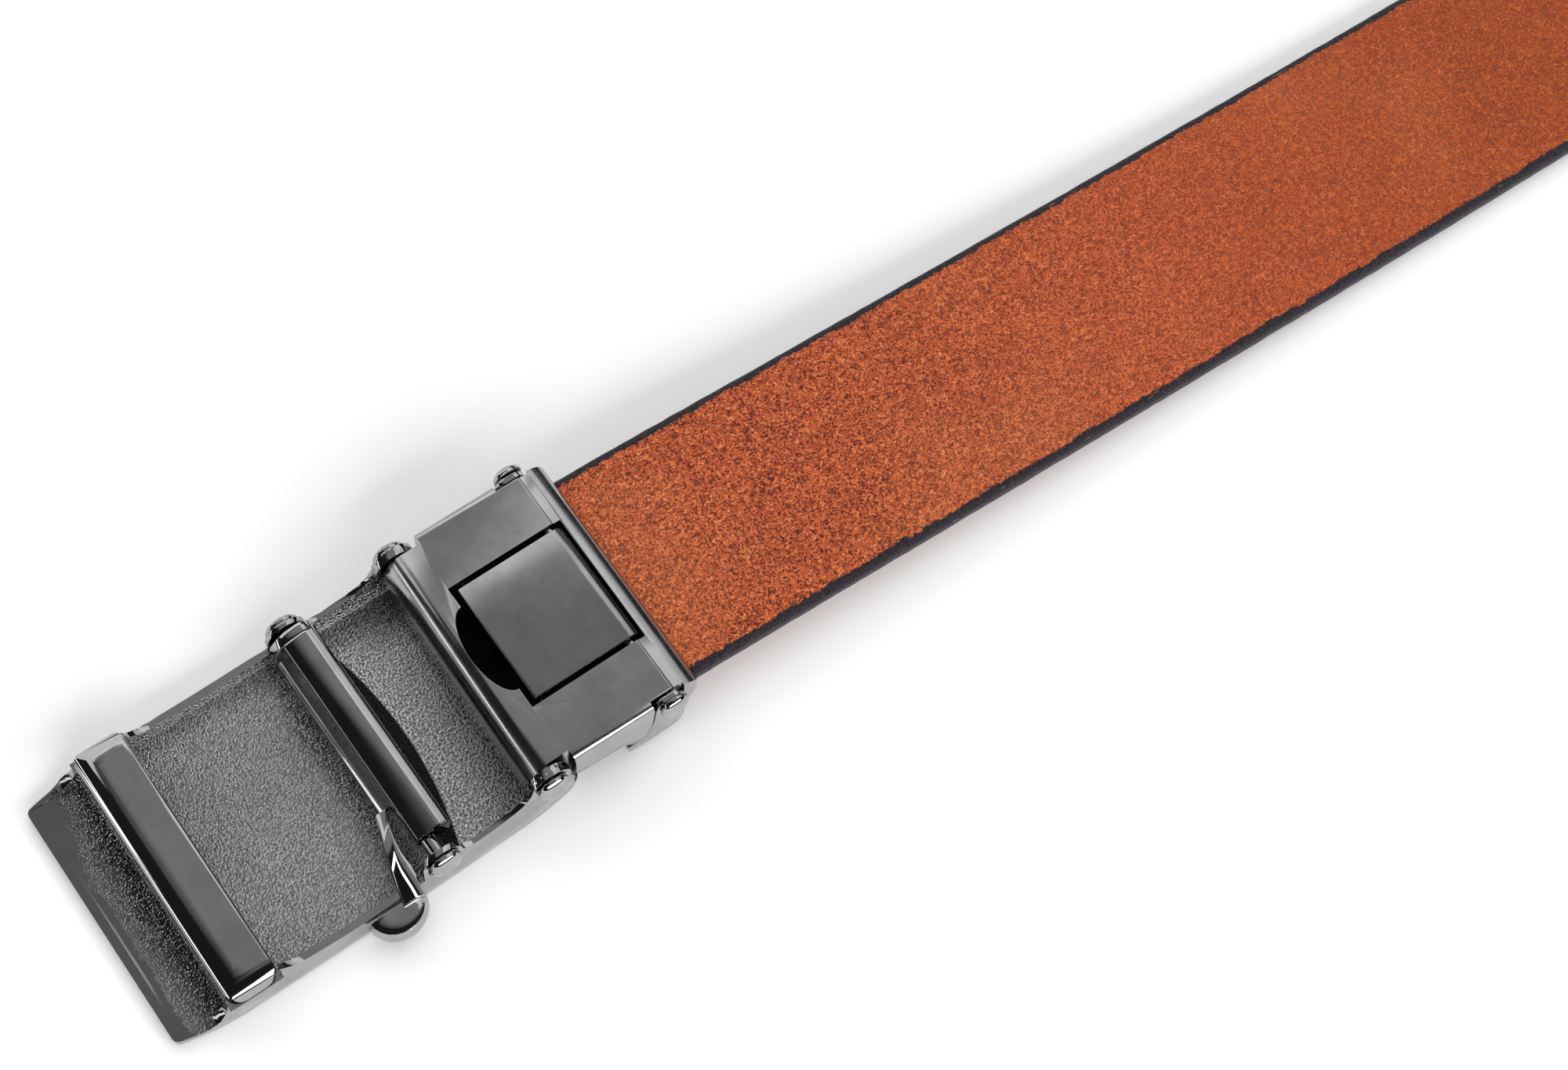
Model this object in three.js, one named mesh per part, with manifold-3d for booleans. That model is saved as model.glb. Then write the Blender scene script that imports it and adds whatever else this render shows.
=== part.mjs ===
// Ratchet belt lying on its front: automatic buckle, clamp and the first stretch of its leather strap.
// Millimetres, +Z up. The origin is the middle of the buckle's outer face, +X runs towards the strap,
// and -Y is the side with the thumb knob. The wearer's side of the belt faces up.
import * as THREE from 'three';
import { mergeVertices } from 'three/addons/utils/BufferGeometryUtils.js';
import Module from 'manifold-3d';

const wasm = await Module();
wasm.setup();

// Clearances
const fitGap = 0.3;
const runningGap = 0.3;
const sideGap = 0.4;

// Strap
const strapWidth = 35;
const strapThick = 3;
const strapLength = 199.1;
const strapLift = 5.6;
const strapYaw = THREE.MathUtils.degToRad(-1.515);
const strapEdgeRound = 1.1;
const strapRestLength = 14;
const strapSideSlack = 1.3;

// Buckle frame
const plateLength = 65.3;
const plateThick = 1.2;
const plateEdge = 0.45;
const lipLength = 8.55;
const lipRise = 0.55;
const lipRun = 4.6;
const traySlack = 1.7;
const wallFoot = 1.75;
const wallTop = 0.75;
const bayWallHeight = 3.7;
const clampBayHeight = 6.1;
const draftFrom = 1.5;
const bridgeWidth = 7.4;
const bridgeTop = 8.8;
const bridgeThick = 1.6;
const bridgeEndRun = 6.2;
const bridgeEndWall = 1.5;
const bridgePlanRound = 2.4;
const bridgeSlot = 5.4;

// Pawl and its pin
const pawlToHinge = 17.5;
const pawlZ = 7.1;
const pawlEarRadius = 3.1;
const pinRadius = 1.3;
const headRadius = 2.6;
const headHeight = 1.25;
const headSeat = 0.25;
const barNearGap = 3.0;
const barFarGap = 0.4;
const bladeNear = -9.6;
const gussetThick = 1.6;
const bladeDrop = 3.7;
const armThick = 1.5;
const armBottom = 4.75;
const armTipWidth = 1.6;
const armWidth = 3.2;
const armBow = 0.9;
const knobLength = 8.95;
const knobReach = 4.0;
const knobDrop = 0.7;
const knobThick = 3.4;
const knobToPawl = 8.5;

// Clamp
const hingeInset = 5.85;
const hingeZ = 9.3;
const hingeEarRadius = 3.2;
const hingePinRadius = 1.3;
const tongueStep = 1.8;
const tongueLength = 4.0;
const lipReach = 2.5;
const clampLength = 24.6;
const clampTop = 12.5;
const sheetThick = 1.2;
const cornerRound = 1.4;
const collarWidth = 4.1;
const collarDrop = 1.9;
const collarTaper = 0.75;
const baseThick = 0.8;
const skirtFoot = 1.1;
const footLength = 4.7;
const footWidth = 3.6;
const footThick = 1.0;
const seamLength = 5.8;
const earWidth = 4.7;
const windowInset = 2.8;
const windowLength = 18.4;
const windowHalf = 10.4;
const notchDepth = 3.0;
const notchHalf = 7.15;

// Flap and its pin
const flapInset = 2.1;
const flapDrop = 1.75;
const flapGap = 1.0;
const flapThick = 1.5;
const flapSide = 1.1;
const flapSideDrop = 2.9;
const flapPinRadius = 0.8;
const flapHeadRadius = 2.2;
const camRadius = 1.8;

// Fineness
const roundSteps = 3;
const circleSteps = 24;
const overshoot = 3;

// Half widths, each from what lies inside it
const trayHalf = strapWidth / 2 + traySlack;
const plateHalf = trayHalf + wallFoot;
const earOuter = trayHalf + wallTop;
const bridgeHalf = trayHalf + bridgeEndWall;
const clampHalf = strapWidth / 2 + strapSideSlack + sheetThick;
const tongueHalf = clampHalf - tongueStep;

// Places along the belt, from the plate's ends
const bridgeLeft = -plateLength / 2 + lipLength;
const bridgeRight = bridgeLeft + bridgeWidth;
const hingeX = plateLength / 2 - hingeInset;
const pawlX = hingeX - pawlToHinge;
const knobMiddle = pawlX - knobToPawl;
const clampRight = hingeX + clampLength;
const windowRight = clampRight - windowInset;
const windowLeft = windowRight - windowLength;
const earRight = windowRight;
const earLeft = earRight - earWidth;
const skirtLeft = earLeft - footLength;
const seamLeft = earLeft - seamLength;
const flapX = earRight - flapInset;
const flapZ = clampTop - flapDrop;
const strapLeft = hingeX + tongueLength + sheetThick + 3 * fitGap;
const strapRight = strapLeft + strapLength;

// Bar of the pawl between the frame's walls
const barNear = barNearGap - trayHalf;
const barFar = trayHalf - barFarGap - gussetThick;

// Turns a closed geometry into a solid for joining and cutting.
function toSolid(geometry) {
  const plain = geometry.clone();
  plain.deleteAttribute('normal');
  plain.deleteAttribute('uv');
  const welded = mergeVertices(plain);
  return new wasm.Manifold(new wasm.Mesh({
    numProp: 3,
    vertProperties: new Float32Array(welded.attributes.position.array),
    triVerts: new Uint32Array(welded.index.array),
  }));
}

function toGeometry(solid) {
  const mesh = solid.getMesh();
  const geometry = new THREE.BufferGeometry();
  geometry.setAttribute('position', new THREE.BufferAttribute(new Float32Array(mesh.vertProperties), 3));
  geometry.setIndex(new THREE.BufferAttribute(new Uint32Array(mesh.triVerts), 1));
  geometry.computeVertexNormals();
  return geometry;
}

// A closed outline from rows of [u, v, rounding]. The rounding is the length taken off each side of a corner.
function outline(rows) {
  const shape = new THREE.Shape();
  const count = rows.length;
  const corner = (i) => new THREE.Vector2(rows[(i + count) % count][0], rows[(i + count) % count][1]);
  rows.forEach((row, i) => {
    const here = corner(i);
    const round = row[2] ?? 0;
    const towards = (other) => {
      const step = other.sub(here);
      return here.clone().addScaledVector(step.clone().normalize(), Math.min(round, step.length() * 0.49));
    };
    const entry = towards(corner(i - 1));
    const leave = towards(corner(i + 1));
    if (i === 0) shape.moveTo(entry.x, entry.y);
    else shape.lineTo(entry.x, entry.y);
    if (round > 0) shape.quadraticCurveTo(here.x, here.y, leave.x, leave.y);
  });
  shape.closePath();
  return shape;
}

function rectangle(uLow, uHigh, vLow, vHigh) {
  return outline([[uLow, vLow], [uHigh, vLow], [uHigh, vHigh], [uLow, vHigh]]);
}

function disc(u, v, radius) {
  const shape = new THREE.Shape();
  shape.absarc(u, v, radius, 0, Math.PI * 2);
  return shape;
}

function extrude(shape, length, bevel, steps) {
  return new THREE.ExtrudeGeometry(shape, {
    depth: length - 2 * bevel,
    bevelEnabled: bevel > 0,
    bevelThickness: bevel,
    bevelSize: bevel,
    bevelOffset: -bevel,
    bevelSegments: 2,
    curveSegments: steps,
  }).translate(0, 0, bevel);
}

// Extrusions of an outline drawn in XY, XZ or YZ, between two heights along the third axis.
function alongZ(shape, low, high, bevel = 0, steps = roundSteps) {
  return toSolid(extrude(shape, high - low, bevel, steps).translate(0, 0, low));
}

function alongY(shape, low, high, bevel = 0, steps = roundSteps) {
  return toSolid(extrude(shape, high - low, bevel, steps).rotateX(Math.PI / 2).translate(0, high, 0));
}

function alongX(shape, low, high, bevel = 0, steps = roundSteps) {
  const solid = extrude(shape, high - low, bevel, steps).rotateX(Math.PI / 2).rotateZ(Math.PI / 2);
  return toSolid(solid.translate(low, 0, 0));
}

function join(first, ...others) {
  return others.reduce((sum, next) => sum.add(next), first);
}

function cut(first, ...others) {
  return others.reduce((rest, next) => rest.subtract(next), first);
}

// The same solid on both sides of the belt's middle line.
function bothSides(make) {
  return join(make(1), make(-1));
}

// A slab in XZ that stands on one side, between two distances from the middle line.
function sideSlab(shape, side, inner, outer, bevel = 0, steps = roundSteps) {
  return side > 0 ? alongY(shape, inner, outer, bevel, steps) : alongY(shape, -outer, -inner, bevel, steps);
}

function bore(x, z, radius, half) {
  return alongY(disc(x, z, radius), -half, half, 0, circleSteps / 2);
}

// Points on an arc in XZ as outline rows, angles in degrees from +X.
function arcRows(x, z, radius, from, to, count) {
  return Array.from({ length: count + 1 }, (_, i) => {
    const angle = THREE.MathUtils.degToRad(from + ((to - from) * i) / count);
    return [x + radius * Math.cos(angle), z + radius * Math.sin(angle)];
  });
}

// Plan of the face plate: shares of half the length and of the half width, with the rounding in mm.
function plateOutline() {
  const half = plateLength / 2;
  const side = [
    { along: -1.0, across: 0.925, round: 0.9 },
    { along: -0.79, across: 0.995, round: 5 },
    { along: 0.0, across: 1.0, round: 8 },
    { along: 0.78, across: 0.97, round: 6 },
    { along: 1.0, across: 0.915, round: 3.4 },
  ];
  const far = side.map((row) => [row.along * half, row.across * plateHalf, row.round]);
  const near = side.map((row) => [row.along * half, -row.across * plateHalf, row.round]);
  return outline([...near, ...far.reverse()]);
}

// The bridge's upper surface from its left edge to its right edge, leaning towards the free end.
function bridgeRows() {
  return [
    { along: 0.0, rise: 0.8, round: 0.2 },
    { along: 0.14, rise: 0.885, round: 0.6 },
    { along: 0.38, rise: 0.985, round: 0.9 },
    { along: 0.62, rise: 1.0, round: 0.9 },
    { along: 0.86, rise: 0.965, round: 0.8 },
    { along: 1.0, rise: 0.925, round: 0.3 },
  ].map((row) => [bridgeLeft + row.along * bridgeWidth, row.rise * bridgeTop, row.round]);
}

// Side view of the frame: lip, bridge, scalloped wall, pawl ear, wall, clamp ear.
function frameProfile() {
  const left = -plateLength / 2;
  const right = plateLength / 2;
  const ledge = plateThick + lipRise;
  const pawlEarLeft = pawlX - pawlEarRadius;
  const hingeEarLeft = hingeX - hingeEarRadius;
  return outline([
    [left - overshoot, -overshoot],
    [left - overshoot, ledge],
    [left + 0.7, ledge, 0.6],
    [left + lipRun, plateThick + 0.35, 1.0],
    [bridgeLeft - 2.6, plateThick + 1.2, 1.2],
    [bridgeLeft - 0.7, bridgeTop * 0.46, 0.6],
    ...bridgeRows(),
    [bridgeRight + 0.5, bridgeTop * 0.68, 0.6],
    [bridgeRight + 2.6, bayWallHeight + 0.7, 1.6],
    [(bridgeRight + pawlEarLeft) / 2, bayWallHeight - 0.1, 6],
    [pawlEarLeft - 3.0, bayWallHeight + 0.4, 1.2],
    [pawlEarLeft - 0.1, bayWallHeight + 0.6, 0.2],
    ...arcRows(pawlX, pawlZ, pawlEarRadius, 190, 5, 10),
    [pawlX + pawlEarRadius + 0.2, clampBayHeight + 0.1, 0.3],
    [pawlX + pawlEarRadius + 2.0, clampBayHeight - 0.4, 1.0],
    [pawlX + pawlEarRadius + 6.2, clampBayHeight, 2.0],
    [hingeEarLeft - 1.3, clampBayHeight + 1.3, 0.9],
    ...arcRows(hingeX, hingeZ, hingeEarRadius, 180, -25, 12),
    [hingeX + hingeEarRadius + 0.6, hingeZ - 4.8, 1.0],
    [right + overshoot, plateThick + 0.4],
    [right + overshoot, -overshoot],
  ]);
}

// Side view of what is hollowed out: the tray, and the slot that runs on under the bridge.
function trayProfile() {
  const left = -plateLength / 2;
  const right = plateLength / 2;
  const open = clampTop + overshoot;
  const under = bridgeRows().map(([x, z]) => [x, z - bridgeThick]);
  const underMiddle = under.slice(1, 5).map(([x, z]) => [x, z, 0.6]);
  return outline([
    [left - overshoot, plateThick + lipRise + 0.3],
    [left + 0.5, plateThick + lipRise - 0.1, 0.4],
    [left + lipRun * 0.45, plateThick + lipRise * 0.3, 1.4],
    [left + lipRun, plateThick, 1.2],
    [right + overshoot, plateThick],
    [right + overshoot, open],
    [bridgeRight + 0.1, open],
    [bridgeRight + 0.1, bridgeTop * 0.8],
    ...underMiddle.reverse(),
    [bridgeLeft + 0.5, bridgeSlot],
    [bridgeLeft - 0.2, bridgeSlot + 0.1],
    [bridgeLeft - 0.2, open],
    [left - overshoot, open],
  ]);
}

// End view of the frame: upright plate edge, then a draft that brings ears and walls inwards.
function frameSection() {
  const high = clampBayHeight - 0.9;
  return outline([
    [-plateHalf - overshoot, -overshoot],
    [plateHalf + overshoot, -overshoot],
    [plateHalf + overshoot, 0],
    [plateHalf, 0],
    [plateHalf, draftFrom, 0.8],
    [earOuter, high, 1.2],
    [earOuter, clampTop + overshoot],
    [-earOuter, clampTop + overshoot],
    [-earOuter, high, 1.2],
    [-plateHalf, draftFrom, 0.8],
    [-plateHalf, 0],
    [-plateHalf - overshoot, 0],
  ]);
}

function frameEars() {
  const padInner = tongueHalf + sideGap;
  return bothSides((side) =>
    sideSlab(disc(hingeX, hingeZ, hingeEarRadius), side, padInner, earOuter, 0, circleSteps / 2));
}

// Rounds the two upper ends of the bridge, and gives the rest of the frame its draft.
function shapeSides(frame) {
  const wide = plateHalf + overshoot;
  const zone = alongX(rectangle(-wide, wide, -overshoot, clampTop), bridgeLeft - 0.4, bridgeRight + 0.4);
  const endRows = [
    [bridgeHalf, bridgeTop * 0.77, 0.6],
    [bridgeHalf - bridgeEndRun * 0.07, bridgeTop * 0.85, 0.7],
    [bridgeHalf - bridgeEndRun * 0.37, bridgeTop * 0.94, 1.4],
    [bridgeHalf - bridgeEndRun * 0.7, bridgeTop * 0.985, 1.4],
    [bridgeHalf - bridgeEndRun, bridgeTop, 1.6],
  ];
  const bridgeSection = outline([
    [-plateHalf - overshoot, -overshoot],
    [plateHalf + overshoot, -overshoot],
    [plateHalf + overshoot, 0],
    [plateHalf, 0],
    [plateHalf, draftFrom, 0.6],
    ...endRows,
    ...endRows.map(([across, up, round]) => [-across, up, round]).reverse(),
    [-plateHalf, draftFrom, 0.6],
    [-plateHalf, 0],
    [-plateHalf - overshoot, 0],
  ]);
  const reach = plateLength / 2 + overshoot;
  const plan = outline([
    [bridgeLeft - 0.1, -bridgeHalf, bridgePlanRound],
    [bridgeRight + 0.2, -bridgeHalf, bridgePlanRound],
    [bridgeRight + 0.2, bridgeHalf, bridgePlanRound],
    [bridgeLeft - 0.1, bridgeHalf, bridgePlanRound],
  ]);
  const foot = alongZ(rectangle(-reach, reach, -wide, wide), -overshoot, bridgeSlot - 0.6);
  const rounded = join(foot, alongZ(plan, bridgeSlot - 0.7, clampTop + overshoot, 0, 5));
  const drafted = cut(frame, zone).intersect(alongX(frameSection(), -reach, reach));
  const bridge = frame.intersect(zone).intersect(alongX(bridgeSection, -reach, reach, 0, 4)).intersect(rounded);
  return join(drafted, bridge);
}

function makeFrame() {
  const block = alongZ(plateOutline(), 0, clampTop + overshoot, plateEdge, 5);
  const walls = block.intersect(alongY(frameProfile(), -plateHalf - overshoot, plateHalf + overshoot));
  const tray = alongY(trayProfile(), -trayHalf, trayHalf);
  const shell = join(cut(shapeSides(walls), tray), frameEars());
  return cut(
    shell,
    bore(pawlX, pawlZ, pinRadius + runningGap, plateHalf + overshoot),
    bore(hingeX, hingeZ, hingePinRadius + runningGap, plateHalf + overshoot),
  );
}

// Rivet head as lathe points: radius and distance out from the seat, with a shallow dimple.
function headPoints(radius, height) {
  return [
    { across: 1.0, out: 0.0 },
    { across: 1.0, out: 0.38 },
    { across: 0.9, out: 0.66 },
    { across: 0.7, out: 0.9 },
    { across: 0.46, out: 1.0 },
    { across: 0.34, out: 0.82 },
    { across: 0.0, out: 0.76 },
  ].map((row) => [row.across * radius, row.out * height]);
}

// A pin along Y with a head on each end, seated outside the walls at the given half distance.
function makePin(x, z, radius, seat, head, height) {
  const upper = headPoints(head, height).map(([r, out]) => new THREE.Vector2(r, seat + out));
  const lower = headPoints(head, height).map(([r, out]) => new THREE.Vector2(r, -seat - out)).reverse();
  const profile = [...lower, new THREE.Vector2(radius, -seat), new THREE.Vector2(radius, seat), ...upper];
  return toSolid(new THREE.LatheGeometry(profile, circleSteps).translate(x, 0, z));
}

// A short rivet on one side: shank from the inner half distance to the seat, head outside.
function makeRivet(side, inner, seat) {
  const shank = [new THREE.Vector2(0, inner), new THREE.Vector2(hingePinRadius, inner)];
  const head = headPoints(headRadius * 0.96, headHeight).map(([r, out]) => new THREE.Vector2(r, seat + out));
  const profile = [...shank, new THREE.Vector2(hingePinRadius, seat), ...head];
  const geometry = new THREE.LatheGeometry(profile, circleSteps);
  if (side < 0) geometry.rotateX(Math.PI);
  return toSolid(geometry.translate(hingeX, 0, hingeZ));
}

// Section of the pawl: the bar round the pin, and the blade that slants down to the track.
function pawlSection(withBlade) {
  const bar = [
    [pawlX - 1.45, pawlZ + 1.95, 0.25],
    [pawlX + 2.0, pawlZ + 2.6, 0.35],
    [pawlX + 3.3, pawlZ + 2.1, 0.35],
    [pawlX + 3.7, pawlZ + 0.8, 0.4],
    [pawlX + 3.4, pawlZ - 1.6, 0.8],
    [pawlX + 1.2, pawlZ - 2.5, 1.0],
  ];
  const back = [
    [pawlX - 1.6, pawlZ - 2.1, 0.6],
    [pawlX - 1.9, pawlZ - 0.6, 0.6],
  ];
  const blade = [
    [pawlX - 1.2, pawlZ - 2.5, 0.7],
    [pawlX - 2.6, pawlZ - bladeDrop, 0.15],
    [pawlX - 3.3, pawlZ - bladeDrop + 0.4, 0.1],
    [pawlX - 3.1, pawlZ - bladeDrop + 0.9, 0.15],
    [pawlX - 2.5, pawlZ - bladeDrop + 1.5, 0.3],
    [pawlX - 2.0, pawlZ - 1.0, 0.6],
  ];
  return outline([...bar, ...(withBlade ? blade : back)]);
}

// The rounded gusset that closes the blade's far end.
function gussetSection() {
  return outline([
    [pawlX - 2.7, pawlZ - 3.4, 0.4],
    [pawlX - 3.4, pawlZ - 2.6, 0.5],
    [pawlX - 3.2, pawlZ + 0.2, 1.2],
    [pawlX - 1.7, pawlZ + 2.4, 1.2],
    [pawlX + 2.2, pawlZ + 3.2, 1.0],
    [pawlX + 3.9, pawlZ + 1.2, 0.8],
    [pawlX + 3.4, pawlZ - 1.6, 0.8],
    [pawlX + 1.2, pawlZ - 2.6, 1.0],
  ]);
}

const knobFlat = -plateHalf - sideGap;

// Release arm in plan: leaves the blade's near end, bows towards the free end and widens to the knob.
function makeArm() {
  const tip = bladeNear + 0.4;
  const run = tip - (knobFlat - 0.8);
  const rootLeft = pawlX - 3.9;
  const endLeft = pawlX - 7.6;
  const side = [
    { down: 0.0, width: 0.0 },
    { down: 0.18, width: 0.12 },
    { down: 0.34, width: 0.26 },
    { down: 0.49, width: 0.5 },
    { down: 0.66, width: 0.9 },
    { down: 0.8, width: 1.0 },
    { down: 1.0, width: 1.0 },
  ].map((row) => {
    const left = rootLeft + (endLeft - rootLeft) * row.down - armBow * Math.sin(Math.PI * row.down) * 0.5;
    return [left, tip - run * row.down, armTipWidth + (armWidth - armTipWidth) * row.width];
  });
  const rows = [
    ...side.map(([left, y]) => [left, y]),
    ...side.map(([left, y, width]) => [left + width, y]).reverse(),
  ];
  return alongZ(outline(rows), armBottom, armBottom + armThick, 0.2);
}

// The D-shaped thumb knob outside the near wall: half of a domed oval button.
function makeKnob() {
  const half = knobLength / 2;
  const top = armBottom + armThick - knobDrop;
  const profile = [
    { across: 0.0, down: 1.0 },
    { across: 0.86, down: 1.0 },
    { across: 0.97, down: 0.86 },
    { across: 1.0, down: 0.62 },
    { across: 0.98, down: 0.36 },
    { across: 0.88, down: 0.15 },
    { across: 0.68, down: 0.04 },
    { across: 0.0, down: 0.0 },
  ].map((row) => new THREE.Vector2(row.across * half, -row.down * knobThick));
  const button = new THREE.LatheGeometry(profile, circleSteps).rotateX(Math.PI / 2);
  button.scale(1, knobReach / half, 1).translate(knobMiddle, knobFlat, top);
  const outside = rectangle(knobMiddle - knobLength, knobMiddle + knobLength, knobFlat - knobLength, knobFlat);
  return toSolid(button).intersect(alongZ(outside, 0, clampTop));
}

function makePawl() {
  const far = barFar + gussetThick;
  const bar = alongY(pawlSection(false), barNear, far, 0.15);
  const blade = alongY(pawlSection(true), bladeNear, far - 0.2);
  const gusset = alongY(gussetSection(), barFar, far, 0.25);
  const solid = join(bar, blade, gusset, makeArm(), makeKnob());
  return cut(solid, bore(pawlX, pawlZ, pinRadius + runningGap, plateHalf));
}

// Side view of the clamp cover from its rolled left lip over the top to the collar.
function coverProfile() {
  const lip = hingeX - lipReach;
  const ridge = clampRight - collarWidth;
  return outline([
    [lip + 0.1, hingeZ - 2.4, 0.3],
    [lip, hingeZ - 0.3, 0.8],
    [lip + 1.1, clampTop - 1.2, 0.9],
    [lip + 2.7, clampTop, 0.8],
    [ridge - 0.1, clampTop, 0.12],
    [ridge + 0.15, clampTop - 0.28, 0.12],
    [ridge + 2.1, clampTop - 0.5, 1.2],
    [clampRight, clampTop - collarDrop, 0.8],
    [clampRight, strapLift - 0.7, 0.5],
    [clampRight - collarWidth + 1.6, strapLift - 0.7, 0.5],
    [ridge, strapLift - 2.4],
    [seamLeft, strapLift - 2.4],
    [lip + 0.1, strapLift - 2.4],
  ]);
}

function coverHollow() {
  const lip = hingeX - lipReach + sheetThick;
  const inner = clampTop - sheetThick;
  const ridge = clampRight - collarWidth;
  const strapTop = strapLift + strapThick;
  const mouth = strapTop + sideGap;
  return outline([
    [lip, 0],
    [lip, hingeZ - 0.3, 0.4],
    [lip + 0.8, inner - 0.6, 0.5],
    [lip + 1.7, inner, 0.3],
    [ridge - 0.2, inner, 0.4],
    [ridge + 2.0, inner - 0.5, 0.6],
    [clampRight - 1.0, mouth + 0.5, 0.3],
    [clampRight - 0.3, mouth, 0.2],
    [clampRight + overshoot, mouth],
    [clampRight + overshoot, 0],
  ]);
}

// What is cut away below the cover's side walls, with the curved seam against the lower jaw.
function coverUnderside() {
  const step = hingeX + tongueLength;
  return outline([
    [0, -overshoot],
    [0, hingeZ - 2.6],
    [step, hingeZ - 2.6],
    [step + 0.3, strapLift + 0.8, 0.3],
    [seamLeft + 0.3, strapLift + 0.2, 0.3],
    [seamLeft + 2.3, strapLift - 2.1, 0.6],
    [seamLeft + 3.8, strapLift - 2.1, 0.6],
    [earLeft - fitGap - 0.4, strapLift + 0.9, 1.0],
    [earLeft - fitGap, clampTop - 1.4, 0.6],
    [earLeft - fitGap, clampTop + overshoot],
    [earRight + fitGap, clampTop + overshoot],
    [earRight + fitGap, strapLift - 0.4],
    [earRight + 1.5, strapLift + 0.5, 0.8],
    [clampRight - 0.3, strapLift + 2.7, 1.2],
    [clampRight + overshoot, strapLift + strapThick],
    [clampRight + overshoot, -overshoot],
  ]);
}

function coverWindow() {
  const moon = new THREE.Shape();
  moon.absellipse(windowLeft, 0, notchDepth, notchHalf, 0, Math.PI * 2);
  const low = strapLift + strapThick;
  const high = clampTop + overshoot;
  return join(
    alongZ(rectangle(windowLeft, windowRight, -windowHalf, windowHalf), low, high),
    alongZ(moon, low, high, 0, circleSteps),
  );
}

function makeCover() {
  const step = hingeX + tongueLength;
  const inner = clampHalf - sheetThick;
  const tongueInner = tongueHalf - sheetThick;
  const section = outline([
    [-clampHalf, 0],
    [clampHalf, 0],
    [clampHalf, clampTop, cornerRound],
    [-clampHalf, clampTop, cornerRound],
  ]);
  const ridge = clampRight - collarWidth;
  const plan = outline([
    [0, -clampHalf],
    [ridge, -clampHalf, 1.0],
    [ridge + 1.2, collarTaper - clampHalf, 1.0],
    [clampRight, collarTaper - clampHalf, 0.9],
    [clampRight, clampHalf - collarTaper, 0.9],
    [ridge + 1.2, clampHalf - collarTaper, 1.0],
    [ridge, clampHalf, 1.0],
    [0, clampHalf],
  ]);
  const body = alongY(coverProfile(), -clampHalf, clampHalf)
    .intersect(alongX(section, 0, clampRight + overshoot, 0, 5))
    .intersect(alongZ(plan, -overshoot, clampTop + overshoot));
  const narrow = bothSides((side) =>
    sideSlab(rectangle(0, step, -overshoot, clampTop + overshoot), side, tongueHalf, clampHalf + overshoot));
  const wideSection = rectangle(-clampHalf, clampHalf, -overshoot, clampTop);
  const wideHollow = alongY(coverHollow(), -inner, inner)
    .intersect(alongX(wideSection, step + sheetThick, clampRight + overshoot));
  const hollow = join(alongY(coverHollow(), -tongueInner, tongueInner), wideHollow);
  const under = bothSides((side) => sideSlab(coverUnderside(), side, inner - 0.01, clampHalf + overshoot));
  const tongueBelow = rectangle(0, step + sheetThick, -overshoot, hingeZ - 2.6);
  const tongueUnder = bothSides((side) => sideSlab(tongueBelow, side, tongueInner - 0.01, clampHalf + overshoot));
  return cut(
    body, narrow, hollow, under, tongueUnder, coverWindow(),
    bore(hingeX, hingeZ, hingePinRadius + runningGap, clampHalf),
    bore(flapX, flapZ, flapPinRadius + runningGap, clampHalf),
  );
}

// Side view of the lower jaw's wall: foot, curved front edge along the seam, ear for the flap pin.
function jawWall() {
  return outline([
    [skirtLeft, skirtFoot, 1.3],
    [skirtLeft, skirtFoot + 2.2, 0.8],
    [seamLeft + 2.4, strapLift - 2.1 - fitGap, 0.4],
    [seamLeft + 3.9, strapLift - 2.1 - fitGap, 0.6],
    [earLeft - 0.5, strapLift + 0.7, 1.0],
    [earLeft, clampTop - 1.6, 0.5],
    [earLeft + 0.9, clampTop - 0.3, 0.7],
    [earRight - 0.9, clampTop - 0.3, 0.7],
    [earRight, clampTop - 1.6, 0.5],
    [earRight, strapLift - 2.4, 0.8],
    [earRight - 1.1, skirtFoot, 0.9],
  ]);
}

const jawOuter = clampHalf;
const jawInner = clampHalf - sheetThick + fitGap;

function makeBase() {
  const low = strapLift - fitGap - baseThick;
  const high = strapLift - fitGap;
  const sheetHalf = clampHalf - sheetThick - sideGap;
  const left = hingeX + 1.0;
  const tongueEarOuter = tongueHalf - sheetThick - fitGap;
  const tongueEarInner = tongueEarOuter - sheetThick;
  const sheetRight = clampRight - baseThick;
  const step = hingeX + tongueLength + sheetThick + fitGap;
  const ear = outline([
    [hingeX - 0.7, hingeZ - hingePinRadius - 0.6, 0.5],
    [hingeX - 0.3, hingeZ + 1.2, 0.5],
    [hingeX + 2.6, hingeZ + 1.2, 1.0],
    [hingeX + 4.2, low + 0.2, 1.2],
    [hingeX + 0.2, low + 0.2, 0.6],
  ]);
  const sheet = alongZ(rectangle(left, sheetRight, -tongueEarOuter, tongueEarOuter), low, high);
  const wide = alongZ(rectangle(step, sheetRight, -sheetHalf, sheetHalf), low, high);
  const reachOut = jawOuter - 0.2;
  const bridgeOut = alongZ(rectangle(earLeft + 0.1, earRight - 0.1, -reachOut, reachOut), low, high);
  const ears = bothSides((side) => sideSlab(ear, side, tongueEarInner, tongueEarOuter));
  const walls = bothSides((side) => sideSlab(jawWall(), side, jawInner, jawOuter, 0.15));
  const feet = bothSides((side) => {
    const shape = rectangle(skirtLeft + 0.3, earRight - 1.6, skirtFoot, skirtFoot + footThick);
    return sideSlab(shape, side, jawOuter - footWidth, jawOuter - 0.3);
  });
  return cut(
    join(sheet, wide, bridgeOut, ears, walls, feet),
    bore(hingeX, hingeZ, hingePinRadius + runningGap, clampHalf),
    bore(flapX, flapZ, flapPinRadius + runningGap, clampHalf + overshoot),
  );
}

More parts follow.
